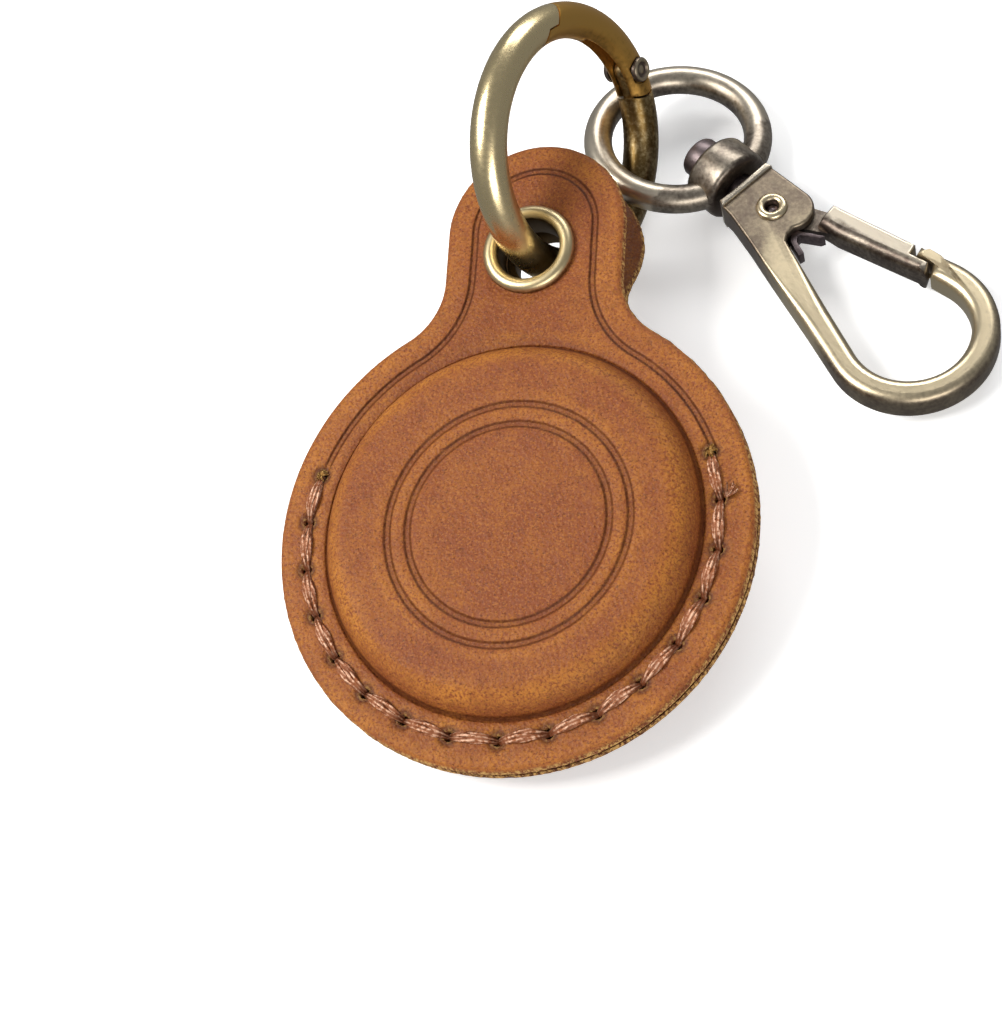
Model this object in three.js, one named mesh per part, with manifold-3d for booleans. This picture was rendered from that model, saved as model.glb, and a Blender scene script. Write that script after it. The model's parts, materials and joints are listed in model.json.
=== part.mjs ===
// Leather tag fob on a spring-gate ring, with a swivelling trigger snap hook.
// Millimetres, +Z up. The keychain lies on a flat surface: the fob rests on the swell of its
// back panel, its tab end propped up by the ring, and the snap hook lies to the right.
//
// Each assembly is drawn in a frame of its own and then posed:
//   fob frame   x across, y from the disc centre towards the tab, z out of the front panel
//   ring frame  z is the axis of the ring, angles run round it from +x
//   loop frame  x runs from the loop centre along the swivel stud, z is the axis of the loop
//   hook frame  as the loop frame, turned about the stud
import * as THREE from 'three';
import { mergeVertices } from 'three/addons/utils/BufferGeometryUtils.js';
import Module from 'manifold-3d';

const wasm = await Module();
wasm.setup();

// ---- driving dimensions -------------------------------------------------------------------

// How the fob lies: tab end raised, a slight roll.
const restTilt = 8.17;
const restRoll = -0.17;

// Leather panels.
const discRadius = 22.5;
const leather = 1.2;
const panelGap = 0.3;
const tabHalfWidth = 8.65;
const tabX = 0.45;
const tabCentreY = 30.15;
const neckFillet = 6.8;
const domeRadius = 18.05;
const plateauRadius = 14.9;
const frontRise = 2.9;
const backRise = 4.0;

// The back tab is bent away from the front one: height of its middle along y.
const backTabX = 0.9;
const backTabCentreY = 29.7;
const backTabHalfWidth = 8.5;
const backTabBend = [
  [-discRadius - 1, -0.75], [19.0, -0.75], [20.3, -1.05], [21.6, -1.7], [22.8, -2.2],
  [24.0, -2.45], [28.3, -3.05], [32.8, -3.68], [34.2, -4.1], [35.4, -4.8], [39.0, -7.3],
];

// Stitching round the lower part of the disc.
const stitchRadius = 19.7;
const stitchX = -0.3;
const stitchCount = 17;
const stitchStart = 162;
const stitchStep = 13.6;
const stitchHole = 0.8;
const threadRadius = 0.32;

// Eyelets.
const boreRadius = 3.05;
const barrelRadius = 3.4;
const eyeletHole = 3.5;
const rimRadius = 4.5;
const washerRadius = 4.4;
const washerThickness = 0.25;
const frontEyelet = new THREE.Vector3(0, 27.9, 0.75);
const backEyelet = new THREE.Vector3(0.7, 28.3, -3.05);
const backEyeletTilt = 8;

// Round tag in the pocket.
const tagRadius = 15.7;
const tagThickness = 6.4;
const tagWall = 0.8;
const cellRadius = 10;
const cellThickness = 3.2;

// Spring-gate ring.
const ringRadius = 11.7;
const ringWire = 1.75;
const ringCentre = new THREE.Vector3(2.8, 39.4, 0.1);
const ringAxis = new THREE.Vector3(0.917, -0.252, 0.311);
const pinAngle = 67;
const jointOuterAngle = 133;
const jointInnerAngle = 146;
const gateEndRadius = 2.6;
const tongueHalf = 0.6;
const channelHalf = 0.75;
const channelEndAngle = 108;
const pinRadius = 0.75;
const gap = 0.3;
const running = 0.12;

// Swivel loop and its hub.
const loopRadius = 7.9;
const loopWire = 1.4;
const loopCentre = new THREE.Vector3(11.2, 44.05, -9.3);
const loopAxis = new THREE.Vector3(0.195, 0.251, 0.948);
const studDirection = new THREE.Vector3(0.719, -0.694, 0.036);
const hookTurn = 8;
const hubStart = 5.1;
const hubEnd = 8.9;
const hubRadius = 3.65;
const studRadius = 1.5;
const studHeadRadius = 2.05;
const studHeadLength = 2.1;
const tenonRadius = 0.95;

// Snap hook.
const neckStart = 9.75;
const hookHalf = 1.6;
const rivetX = 13.85;
const rivetRadius = 1.3;
const rivetBore = 0.6;
const bendX = 33.0;
const bendY = -0.5;
const bendOuter = 8.2;
const bendInner = 5.6;
const slotHalf = 0.75;

// ---- materials ----------------------------------------------------------------------------

function finish(colour, roughness, metalness) {
  return new THREE.MeshStandardMaterial({ color: colour, roughness, metalness });
}

const tanLeather = () => finish(0xa2612f, 0.6, 0);
const brownThread = () => finish(0x8a4f36, 0.8, 0);
const antiqueBrass = () => finish(0xb3a06a, 0.35, 1);
const antiqueBronze = () => finish(0x8f836f, 0.38, 1);
const darkSteel = () => finish(0x4a4542, 0.4, 1);
const whitePlastic = () => finish(0xe4e4e2, 0.4, 0);
const polishedSteel = () => finish(0xbfc1c4, 0.2, 1);

// ---- geometry helpers ---------------------------------------------------------------------

const radians = THREE.MathUtils.degToRad;

function toSolid(geometry) {
  const bare = geometry.clone();
  bare.deleteAttribute('normal');
  bare.deleteAttribute('uv');
  const merged = mergeVertices(bare, 1e-4);
  return new wasm.Manifold(new wasm.Mesh({
    numProp: 3,
    vertProperties: new Float32Array(merged.attributes.position.array),
    triVerts: new Uint32Array(merged.index.array),
  }));
}

function toGeometry(solid) {
  const mesh = solid.getMesh();
  const geometry = new THREE.BufferGeometry();
  geometry.setAttribute('position', new THREE.BufferAttribute(mesh.vertProperties, 3));
  geometry.setIndex(new THREE.BufferAttribute(mesh.triVerts, 1));
  geometry.computeVertexNormals();
  return geometry;
}

function cutAll(solid, tools) {
  return tools.reduce((rest, tool) => rest.subtract(tool), solid);
}

function arcPoints(x, y, radiusX, radiusY, fromDegrees, toDegrees, steps) {
  const points = [];
  for (let i = 0; i <= steps; i += 1) {
    const angle = radians(fromDegrees + ((toDegrees - fromDegrees) * i) / steps);
    points.push(new THREE.Vector2(x + radiusX * Math.cos(angle), y + radiusY * Math.sin(angle)));
  }
  return points;
}

// A prism of a plane outline between two heights.
function prism(points, low, high) {
  const shape = new THREE.Shape(points);
  const geometry = new THREE.ExtrudeGeometry(shape, { depth: high - low, bevelEnabled: false });
  return geometry.translate(0, 0, low);
}

function disc(x, y, radius, low, high, sides = 24) {
  return prism(arcPoints(x, y, radius, radius, 0, 360 - 360 / sides, sides - 1), low, high);
}

// A solid of revolution about z from [radius, height] pairs.
function turned(profile, sides = 28) {
  const points = profile.map(([radius, height]) => new THREE.Vector2(radius, height));
  return new THREE.LatheGeometry(points, sides).rotateX(Math.PI / 2);
}

// The same about x, for pieces on the stud axis.
function turnedAlongX(profile, sides = 28) {
  return turned(profile, sides).rotateY(Math.PI / 2);
}

class FlatArc extends THREE.Curve {
  constructor(radius, fromDegrees, toDegrees) {
    super();
    this.radius = radius;
    this.from = radians(fromDegrees);
    this.sweep = radians(toDegrees - fromDegrees);
  }

  getPoint(t, target = new THREE.Vector3()) {
    const angle = this.from + this.sweep * t;
    return target.set(this.radius * Math.cos(angle), this.radius * Math.sin(angle), 0);
  }
}

function alongPath(path, radius, sides, steps) {
  const section = new THREE.Shape(arcPoints(0, 0, radius, radius, 0, 360 - 360 / sides, sides - 1));
  return new THREE.ExtrudeGeometry(section, { steps, extrudePath: path, bevelEnabled: false });
}

// A block in the shape of a ring sector, used to cut wire rings.
function sector(inner, outer, fromDegrees, toDegrees, low, high) {
  const steps = Math.max(2, Math.ceil(Math.abs(toDegrees - fromDegrees) / 6));
  const rim = arcPoints(0, 0, outer, outer, fromDegrees, toDegrees, steps);
  const core = arcPoints(0, 0, inner, inner, toDegrees, fromDegrees, steps);
  return prism([...rim, ...core], low, high);
}

function pose(group, origin, zAxis, xHint) {
  const z = zAxis.clone().normalize();
  const x = xHint.clone().addScaledVector(z, -xHint.dot(z)).normalize();
  const y = new THREE.Vector3().crossVectors(z, x);
  group.quaternion.setFromRotationMatrix(new THREE.Matrix4().makeBasis(x, y, z));
  group.position.copy(origin);
}

function addPiece(group, name, geometry, material) {
  const mesh = new THREE.Mesh(geometry, material);
  mesh.name = name;
  group.add(mesh);
  return mesh;
}

// ---- leather fob --------------------------------------------------------------------------

// Keyhole outline: a disc, concave fillets up into the neck, and a round tab.
function panelOutline(headX, headY, halfWidth) {
  const right = headX + halfWidth + neckFillet;
  const left = headX - halfWidth - neckFillet;
  const reach = discRadius + neckFillet;
  const rightY = Math.sqrt(reach * reach - right * right);
  const leftY = Math.sqrt(reach * reach - left * left);
  const rightAngle = THREE.MathUtils.radToDeg(Math.atan2(rightY, right));
  const leftAngle = THREE.MathUtils.radToDeg(Math.atan2(leftY, left));
  return [
    ...arcPoints(0, 0, discRadius, discRadius, leftAngle, rightAngle + 360, 72),
    ...arcPoints(right, rightY, neckFillet, neckFillet, rightAngle + 180, 180, 8).slice(1),
    ...arcPoints(headX, headY, halfWidth, halfWidth, 0, 180, 24),
    ...arcPoints(left, leftY, neckFillet, neckFillet, 0, leftAngle - 180, 8).slice(0, -1),
  ];
}

// Moulded swell for the tag, from the plateau out to the flat rim.
function swell(radius, plateau, rise, base) {
  const shoulder = radius - plateau;
  return turned([
    [0, base], [radius, base], [radius, 0], [radius - 0.12 * shoulder, 0.3 * rise],
    [radius - 0.32 * shoulder, 0.68 * rise], [radius - 0.62 * shoulder, 0.92 * rise],
    [plateau, rise], [0, rise],
  ], 56);
}

function stitchPoint(index) {
  const angle = radians(stitchStart + stitchStep * index);
  return new THREE.Vector2(stitchX + stitchRadius * Math.cos(angle), stitchRadius * Math.sin(angle));
}

function stitchHoles() {
  const holes = [];
  for (let i = 0; i < stitchCount; i += 1) {
    const at = stitchPoint(i);
    holes.push(toSolid(disc(at.x, at.y, stitchHole, -3, 3, 8)));
  }
  return holes;
}

function frontPanel() {
  const low = panelGap / 2;
  const high = low + leather;
  const sheet = toSolid(prism(panelOutline(tabX, tabCentreY, tabHalfWidth), low, high));
  const outer = toSolid(swell(domeRadius, plateauRadius, frontRise, -leather / 2).translate(0, 0, high));
  const hollow = swell(domeRadius - 0.9, plateauRadius - 0.5, frontRise, -leather * 1.5);
  const bore = toSolid(disc(frontEyelet.x, frontEyelet.y, eyeletHole, -1, 3));
  return toGeometry(cutAll(sheet.add(outer), [
    toSolid(hollow.translate(0, 0, low)), bore, ...stitchHoles(),
  ]));
}

// The back panel's mid-line with its thickness, extruded across the whole width.
function bentSheet() {
  const middle = backTabBend.map(([y, z]) => new THREE.Vector2(y, z));
  const upper = [];
  const lower = [];
  middle.forEach((point, i) => {
    const before = middle[Math.max(i - 1, 0)];
    const after = middle[Math.min(i + 1, middle.length - 1)];
    const along = after.clone().sub(before).normalize();
    const across = new THREE.Vector2(-along.y, along.x).multiplyScalar(leather / 2);
    upper.push(point.clone().add(across));
    lower.unshift(point.clone().sub(across));
  });
  const width = 2 * discRadius + 2;
  const geometry = prism([...lower, ...upper], -width / 2, width / 2);
  return geometry.rotateY(Math.PI / 2).rotateX(Math.PI / 2);
}

function backPanel() {
  const outline = prism(panelOutline(backTabX, backTabCentreY, backTabHalfWidth), -12, 3);
  const low = panelGap / 2;
  const high = low + leather;
  const sheet = toSolid(bentSheet()).intersect(toSolid(outline));
  const outer = swell(domeRadius, plateauRadius - 1.2, backRise, -leather / 2).translate(0, 0, high);
  const hollow = swell(domeRadius - 0.9, plateauRadius - 1.7, backRise, -leather * 1.5);
  const bore = disc(0, 0, eyeletHole, -2, 2).rotateX(-radians(backEyeletTilt));
  bore.translate(backEyelet.x, backEyelet.y, backEyelet.z);
  return toGeometry(cutAll(sheet.add(toSolid(outer.rotateX(Math.PI))), [
    toSolid(hollow.translate(0, 0, low).rotateX(Math.PI)), toSolid(bore), ...stitchHoles(),
  ]));
}

// Eyelet with its rolled rim up and its barrel flared over the washer below.
function eyelet() {
  const seat = leather / 2 + 0.05;
  const flare = -leather / 2 - washerThickness - 0.15;
  return turned([
    [boreRadius, 0.8], [boreRadius, flare], [boreRadius + 0.1, flare - 0.2],
    [barrelRadius + 0.45, flare - 0.2], [barrelRadius + 0.5, flare], [barrelRadius, flare],
    [barrelRadius, seat], [rimRadius, seat], [rimRadius - 0.1, 0.95],
    [boreRadius + 0.95, 1.2], [boreRadius + 0.5, 1.25], [boreRadius + 0.15, 1.05],
    [boreRadius, 0.8],
  ]);
}

function washer() {
  const top = -leather / 2 - 0.05;
  const bottom = top - washerThickness;
  return turned([
    [barrelRadius + 0.1, top], [barrelRadius + 0.1, bottom], [washerRadius, bottom],
    [washerRadius, top], [barrelRadius + 0.1, top],
  ]);
}

// One thread of the lockstitch: it lies on its panel between the holes and dips into each.
function threadRun(side) {
  const surface = panelGap / 2 + leather;
  const lift = surface + threadRadius + 0.05;
  const dip = panelGap / 2 + threadRadius;
  const points = [];
  const add = (at, z) => points.push(new THREE.Vector3(at.x, at.y, side * z));
  for (let i = 0; i < stitchCount; i += 1) {
    const hole = stitchPoint(i);
    if (i > 0) {
      const last = stitchPoint(i - 1);
      add(last.clone().lerp(hole, 0.075), surface + threadRadius);
      add(last.clone().lerp(hole, 0.22), lift);
      add(last.clone().lerp(hole, 0.5), lift + 0.1);
      add(last.clone().lerp(hole, 0.78), lift);
      add(last.clone().lerp(hole, 0.925), surface + threadRadius);
    }
    add(hole, dip);
  }
  return new THREE.CatmullRomCurve3(points, false, 'centripetal');
}

function thread(side) {
  return alongPath(threadRun(side), threadRadius, 6, (stitchCount - 1) * 8);
}

// Shell open at its top, or a lid, for the round tag.
function tagBase() {
  const half = tagThickness / 2;
  return turned([
    [0, -half], [tagRadius - 2.6, -half], [tagRadius - 0.5, -half + 1.1], [tagRadius, 0.2],
    [tagRadius - tagWall, 0.2], [tagRadius - tagWall - 0.6, -half + 1.6],
    [tagRadius - 3, -half + tagWall], [0, -half + tagWall],
  ], 40);
}

function tagCover() {
  const half = tagThickness / 2;
  return turned([
    [0, half], [tagRadius - 2.6, half], [tagRadius - 0.6, half - 1.2], [tagRadius, 0.5],
    [tagRadius - tagWall, 0.5], [tagRadius - 1.4, half - 1.5], [tagRadius - 3, half - tagWall],
    [0, half - tagWall],
  ].reverse(), 40);
}

function coinCell() {
  const half = cellThickness / 2;
  return turned([[0, -half], [cellRadius, -half], [cellRadius, half], [0, half]], 40);
}

function buildFob() {
  const fob = new THREE.Group();
  addPiece(fob, 'front_panel', frontPanel(), tanLeather());
  addPiece(fob, 'back_panel', backPanel(), tanLeather());

  const front = new THREE.Group();
  front.position.copy(frontEyelet);
  addPiece(front, 'front_eyelet', eyelet(), antiqueBrass());
  addPiece(front, 'front_eyelet_washer', washer(), antiqueBrass());

  const back = new THREE.Group();
  back.position.copy(backEyelet);
  back.rotation.x = Math.PI - radians(backEyeletTilt);
  addPiece(back, 'back_eyelet', eyelet(), antiqueBrass());
  addPiece(back, 'back_eyelet_washer', washer(), antiqueBrass());
  fob.add(front, back);

  addPiece(fob, 'front_thread', thread(1), brownThread());
  addPiece(fob, 'back_thread', thread(-1), brownThread());

  const tag = new THREE.Group();
  tag.position.z = (frontRise - backRise) / 2;
  addPiece(tag, 'tag_base', tagBase(), whitePlastic());
  addPiece(tag, 'tag_cover', tagCover(), polishedSteel());
  addPiece(tag, 'coin_cell', coinCell(), polishedSteel());
  fob.add(tag);
  return fob;
}

// ---- spring-gate ring ---------------------------------------------------------------------

const pinX = ringRadius * Math.cos(radians(pinAngle));
const pinY = ringRadius * Math.sin(radians(pinAngle));

function wireArc(fromDegrees, toDegrees) {
  const steps = Math.ceil((toDegrees - fromDegrees) / 7.5);
  return toSolid(alongPath(new FlatArc(ringRadius, fromDegrees, toDegrees), ringWire, 12, steps));
}

// Distance from the pin to a point of the ring. The ends of the lap joint are round about the
// pin, so that the gate can turn inwards past them.
function fromPin(radius, angle) {
  const x = radius * Math.cos(radians(angle)) - pinX;
  const y = radius * Math.sin(radians(angle)) - pinY;
  return Math.hypot(x, y);
}

const outerLapReach = fromPin(ringRadius + 0.9, jointOuterAngle);
const innerLapReach = fromPin(ringRadius - 0.9, jointInnerAngle);

// The gate's side of the lap joint: full wire up to the outer lap, its inner half up to the inner lap.
function lapSpace(fromDegrees, clearance) {
  const whole = toSolid(sector(ringRadius - 3, ringRadius + 3, fromDegrees, 170, -3, 3));
  const inner = toSolid(sector(ringRadius - 3, ringRadius - gap + clearance, fromDegrees, 170, -3, 3));
  const outerEnd = toSolid(disc(pinX, pinY, outerLapReach + clearance, -3, 3, 96));
  const innerEnd = toSolid(disc(pinX, pinY, innerLapReach + clearance, -3, 3, 96));
  return whole.intersect(outerEnd).add(inner.intersect(innerEnd));
}

function ringBody() {
  const wire = wireArc(jointOuterAngle - 15 - 360, pinAngle - 1);
  const gateCut = disc(pinX, pinY, gateEndRadius + gap, -3, 3, 32);
  const tongueStrip = sector(ringRadius - 1.1, ringRadius + 0.8, pinAngle - 18, pinAngle,
    -tongueHalf, tongueHalf);
  const tongueEnd = disc(pinX, pinY, 1.15, -tongueHalf, tongueHalf);
  const pinHole = disc(pinX, pinY, pinRadius + running, -3, 3);
  const body = cutAll(wire, [lapSpace(pinAngle + 20, gap), toSolid(gateCut)]);
  const tongue = toSolid(tongueStrip).add(toSolid(tongueEnd));
  return toGeometry(body.add(tongue).subtract(toSolid(pinHole)));
}

function ringGate() {
  const wire = wireArc(pinAngle - 16, jointInnerAngle + 15);
  const keep = lapSpace(pinAngle, 0).add(toSolid(disc(pinX, pinY, gateEndRadius, -3, 3, 32)));
  const channel = sector(ringRadius - 4, ringRadius + 1.3, pinAngle - 22, channelEndAngle,
    -channelHalf, channelHalf);
  const pinHole = disc(pinX, pinY, pinRadius + running, -3, 3);
  return toGeometry(cutAll(wire.intersect(keep), [toSolid(channel), toSolid(pinHole)]));
}

function tubularPin(radius, bore, half) {
  return turned([
    [bore, -half], [radius, -half], [radius, half], [bore, half], [bore, -half],
  ], 20);
}

// A thin leaf that lies in the channel of the gate and presses it shut.
function ringGateSpring() {
  return sector(ringRadius + 0.1, ringRadius + 0.5, pinAngle + 9, channelEndAngle - 4, -0.5, 0.5);
}

function buildRing() {
  const ring = new THREE.Group();
  pose(ring, ringCentre, ringAxis, new THREE.Vector3(0, 0, -1));
  addPiece(ring, 'ring_body', ringBody(), antiqueBrass());
  addPiece(ring, 'ring_gate', ringGate(), antiqueBrass());
  const pin = addPiece(ring, 'ring_gate_pin', tubularPin(pinRadius, 0.4, 1.85), darkSteel());
  pin.position.set(pinX, pinY, 0);
  addPiece(ring, 'ring_gate_spring', ringGateSpring(), darkSteel());
  return ring;
}

// ---- swivel loop --------------------------------------------------------------------------

function swivelLoop() {
  const wire = toSolid(new THREE.TorusGeometry(loopRadius, loopWire, 12, 48));
  const hub = turnedAlongX([
    [0, hubStart], [hubRadius - 0.4, hubStart], [hubRadius, hubStart + 0.4],
    [hubRadius, hubEnd - 0.3], [hubRadius - 0.3, hubEnd], [0, hubEnd],
  ]);
  const reach = loopRadius + loopWire;
  const faceCut = turnedAlongX([[0, hubEnd], [4, hubEnd], [4, reach + 1], [0, reach + 1]]);
  const headRoom = turnedAlongX([[0, hubStart - 4], [2.6, hubStart - 4], [2.6, hubStart], [0, hubStart]]);
  const bore = turnedAlongX([
    [0, hubStart - 4], [studRadius + running, hubStart - 4],
    [studRadius + running, reach + 1], [0, reach + 1],
  ]);
  return toGeometry(cutAll(wire.add(toSolid(hub)), [toSolid(faceCut), toSolid(headRoom), toSolid(bore)]));
}

function swivelStud() {
  const headEnd = hubStart - 0.15;
  const headStart = headEnd - studHeadLength;
  return turnedAlongX([
    [0, headStart], [studHeadRadius - 0.25, headStart], [studHeadRadius, headStart + 0.25],
    [studHeadRadius, headEnd], [studRadius, headEnd], [studRadius, neckStart - 0.15],
    [tenonRadius, neckStart - 0.15], [tenonRadius, neckStart + 1.5], [0, neckStart + 1.5],
  ], 24);
}

// ---- snap hook ----------------------------------------------------------------------------

// Plan of the hook: collar, cheek round the rivet, spine, round bend and nose.
function hookOutline() {
  const p = (x, y) => new THREE.Vector2(x, y);
  return [
    p(neckStart, 2.9), p(neckStart, -2.9), p(neckStart + 0.5, -3.2), p(11.5, -3.3), p(15.0, -4.1),
    ...arcPoints(bendX, bendY, bendOuter, bendOuter, -104, 104, 28),
    p(27.3, 6.5), p(27.6, 5.55), p(29.4, 5.95), p(30.3, 4.75),
    ...arcPoints(bendX, bendY, bendInner, bendInner, 104, -105, 22),
    p(17.6, -1.7), p(17.2, -1.1),
    ...arcPoints(15.2, 1.1, 2.3, 2.3, -35, 90, 6),
    p(12.6, 3.3), p(neckStart + 0.5, 3.2),
  ];
}

function hookBody() {
  const bevel = 0.45;
  const shape = new THREE.Shape(hookOutline());
  const plate = new THREE.ExtrudeGeometry(shape, {
    depth: 2 * (hookHalf - bevel), bevelEnabled: true, bevelSize: bevel, bevelOffset: -bevel,
    bevelThickness: bevel, bevelSegments: 1,
  });
  plate.translate(0, 0, bevel - hookHalf);
  const slot = prism([
    new THREE.Vector2(11.7, -2.1), new THREE.Vector2(22, -2.1),
    new THREE.Vector2(22, 6), new THREE.Vector2(11.7, 6),
  ], -slotHalf, slotHalf);
  const rivetHole = disc(rivetX, 0, 0.95 + running, -3, 3);
  const tenonHole = turnedAlongX([
    [0, neckStart - 1], [tenonRadius + 0.15, neckStart - 1],
    [tenonRadius + 0.15, neckStart + 3], [0, neckStart + 3],
  ], 24);
  return toGeometry(cutAll(toSolid(plate), [toSolid(slot), toSolid(rivetHole), toSolid(tenonHole)]));
}

// Plan of the lever outside the cheeks; its outer end laps under the nose.
function gateLever() {
  const p = (x, y) => new THREE.Vector2(x, y);
  return [
    p(18.3, 1.75), p(20.5, 2.0), p(29.95, 4.55), p(29.2, 5.6), p(27.25, 5.15), p(26.95, 6.15),
    p(18.0, 4.15),
  ];
}

function hookGate() {
  const lever = toSolid(prism(gateLever(), -hookHalf + 0.05, hookHalf - 0.05));
  const tongue = toSolid(prism([
    new THREE.Vector2(rivetX, -1.3), new THREE.Vector2(19.5, 1.9), new THREE.Vector2(19.0, 4.1),
    new THREE.Vector2(rivetX, 1.9),
  ], -tongueHalf, tongueHalf));
  const eye = toSolid(disc(rivetX, 0, 1.9, -tongueHalf, tongueHalf));
  const rivetHole = toSolid(disc(rivetX, 0, 0.95 + running, -3, 3));
  return toGeometry(lever.add(tongue).add(eye).subtract(rivetHole));
}

// Tubular rivet with a rolled rim proud of each cheek.
function hookRivet() {
  const face = hookHalf + 0.05;
  return turned([
    [rivetBore, -face - 0.2], [rivetRadius - 0.15, -face - 0.2], [rivetRadius, -face],
    [0.95, -face], [0.95, face], [rivetRadius, face], [rivetRadius - 0.15, face + 0.2],
    [rivetBore, face + 0.2], [rivetBore, -face - 0.2],
  ], 24);
}

// Leaf spring bent into a V between the spine and the lever.
function hookSpring() {
  const p = (x, y) => new THREE.Vector2(x, y);
  return prism([
    p(20.6, -2.15), p(17.6, -1.2), p(17.0, -0.5), p(17.2, 0.1), p(19.6, 1.45), p(19.4, 1.0),
    p(17.55, -0.05), p(17.45, -0.45), p(17.9, -0.9), p(20.7, -1.8),
  ], -0.6, 0.6);
}

function buildHook() {
  const loop = new THREE.Group();
  pose(loop, loopCentre, loopAxis, studDirection);
  addPiece(loop, 'swivel_loop', swivelLoop(), antiqueBronze());

  const hook = new THREE.Group();
  hook.rotation.x = radians(hookTurn);
  addPiece(hook, 'swivel_stud', swivelStud(), darkSteel());
  addPiece(hook, 'hook_body', hookBody(), antiqueBronze());
  addPiece(hook, 'hook_gate', hookGate(), antiqueBronze());
  const rivet = addPiece(hook, 'hook_gate_rivet', hookRivet(), antiqueBronze());
  rivet.position.x = rivetX;
  addPiece(hook, 'hook_gate_spring', hookSpring(), darkSteel());
  loop.add(hook);
  return loop;
}

// ---- assembly -----------------------------------------------------------------------------

const keychain = new THREE.Group();
keychain.rotation.set(radians(restTilt), radians(restRoll), 0);
keychain.add(buildFob(), buildRing(), buildHook());

// The origin is under the middle of the whole object, on the surface it lies on.
const group = new THREE.Group();
group.add(keychain);
group.updateMatrixWorld(true);
const box = new THREE.Box3().setFromObject(group, true);
group.position.set(-(box.min.x + box.max.x) / 2, -(box.min.y + box.max.y) / 2, -box.min.z);

export default group;
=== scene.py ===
import json
from functools import reduce
from math import atan2, cos, degrees, exp, hypot, pi, radians, sin, sqrt
from random import Random

import bpy
from mathutils import Euler, Matrix, Vector, geometry, kdtree, noise


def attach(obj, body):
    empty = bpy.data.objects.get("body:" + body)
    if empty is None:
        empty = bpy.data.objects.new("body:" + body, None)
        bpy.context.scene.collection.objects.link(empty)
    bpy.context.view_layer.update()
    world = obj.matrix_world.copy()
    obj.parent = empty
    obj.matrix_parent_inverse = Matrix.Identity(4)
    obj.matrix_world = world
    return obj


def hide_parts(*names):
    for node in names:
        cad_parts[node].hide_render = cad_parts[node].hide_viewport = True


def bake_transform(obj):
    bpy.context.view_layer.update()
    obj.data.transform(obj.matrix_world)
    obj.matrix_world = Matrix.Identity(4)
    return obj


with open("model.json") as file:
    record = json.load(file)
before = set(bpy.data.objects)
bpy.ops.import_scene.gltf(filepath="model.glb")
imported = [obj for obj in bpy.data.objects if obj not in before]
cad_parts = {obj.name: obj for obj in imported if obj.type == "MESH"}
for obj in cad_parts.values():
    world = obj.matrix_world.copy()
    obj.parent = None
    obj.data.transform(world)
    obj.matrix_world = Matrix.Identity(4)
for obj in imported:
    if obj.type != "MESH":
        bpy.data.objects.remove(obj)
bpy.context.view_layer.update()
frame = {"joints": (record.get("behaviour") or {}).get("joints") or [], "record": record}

# ---- driving dimensions, in millimetres ----

# Leather panels, as cut and moulded.
DISC_R = 22.5
LEATHER = 1.2
PANEL_GAP = 0.3
TAB_HALF = 8.65
TAB_X, TAB_Y = 0.45, 30.15
NECK_FILLET = 6.8
DOME_R = 17.75
PLATEAU_R = 14.9
FRONT_RISE, BACK_RISE = 2.9, 4.0
BACK_TAB_X, BACK_TAB_Y, BACK_TAB_HALF = 0.9, 29.7, 8.5
BACK_TAB_BEND = [
    (-24.0, -0.75), (19.0, -0.75), (20.3, -1.05), (21.6, -1.7), (22.8, -2.2),
    (24.0, -2.45), (28.3, -3.05), (32.8, -3.68), (34.2, -4.1), (35.4, -4.8), (39.0, -7.3),
]
DOME_TOP = 4.25  # above the seam between the panels
EMBOSSED_RINGS = (11.45, 9.5)
STAMP = Vector((0.55, -0.4))  # the middle of the embossed rings, struck a little off centre
CREASE_INSET = 2.75
CREASE_FADE = (5.8, 7.6)  # the crease dies out between these heights

# Stitching.
STITCH_R, STITCH_X = 19.7, -0.3
STITCHES, STITCH_START, STITCH_STEP = 17, 162.0, 13.6
STITCH_HOLE = 0.55
SURFACE = PANEL_GAP / 2 + LEATHER  # outer face of either panel's rim, from the seam

# Eyelets.
BORE_R, BARREL_R, FOOT_R, RIM_R, RIM_HEIGHT = 3.05, 3.4, 3.85, 4.5, 0.72
EYELET_HOLE, WASHER_R = 3.5, 4.4
FRONT_EYELET = Vector((0.0, 27.9, 0.75))
BACK_EYELET = Vector((0.7, 28.3, -3.05))
BACK_EYELET_TILT = 8.0

# Gate ring.
RING_R, RING_WIRE = 11.7, 1.75
PIN_ANGLE, JOINT_OUTER, JOINT_INNER = 67.0, 133.0, 146.0
GATE_END_R, LAP_STEP, LAP_GAP = 2.6, 0.9, 0.16
PIN_BORE_R, PIN_SEAT_R, PIN_SEAT_Z = 0.8, 1.38, 1.36
LEAF_START, LEAF_END, SLOT_END = 9.0, 104.0, 108.0
EDGE_BEVEL = 0.07
CLEAR = 3.0  # cutters reach this far past the middle of the wire

# The tongue of each lever, ring's or hook's, and the slot that it sits in.
TONGUE_HALF, SLOT_HALF = 0.6, 0.75

# Swivel loop and stud.
LOOP_R, LOOP_WIRE = 7.9, 1.4
HUB_START, HUB_END, HUB_R = 5.1, 8.9, 3.65
STUD_R, STUD_HEAD_R, STUD_HEAD_LEN = 1.5, 2.05, 2.1
HOOK_TURN = 8.0

# Snap hook.
NECK_START, HOOK_HALF = 9.75, 1.6
LIP_LENGTH = 0.7
RIVET_X, RIVET_EYE_R, RIVET_ROLL = 13.85, 1.9, (0.44, 0.34)
BEND_X, BEND_Y, BEND_OUTER, BEND_INNER = 33.0, -0.5, 8.2, 5.6

# Camera: its place and its turn, both as seen from the fob.
LENS_PLACE = (-0.0012964, 0.0019922, 0.2261227)  # metres, along the camera's own axes
LENS_TURN = (20.20788, 17.43997, 3.75688)
LENS_LENGTH = 87.18


# ---- frames ----

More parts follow.
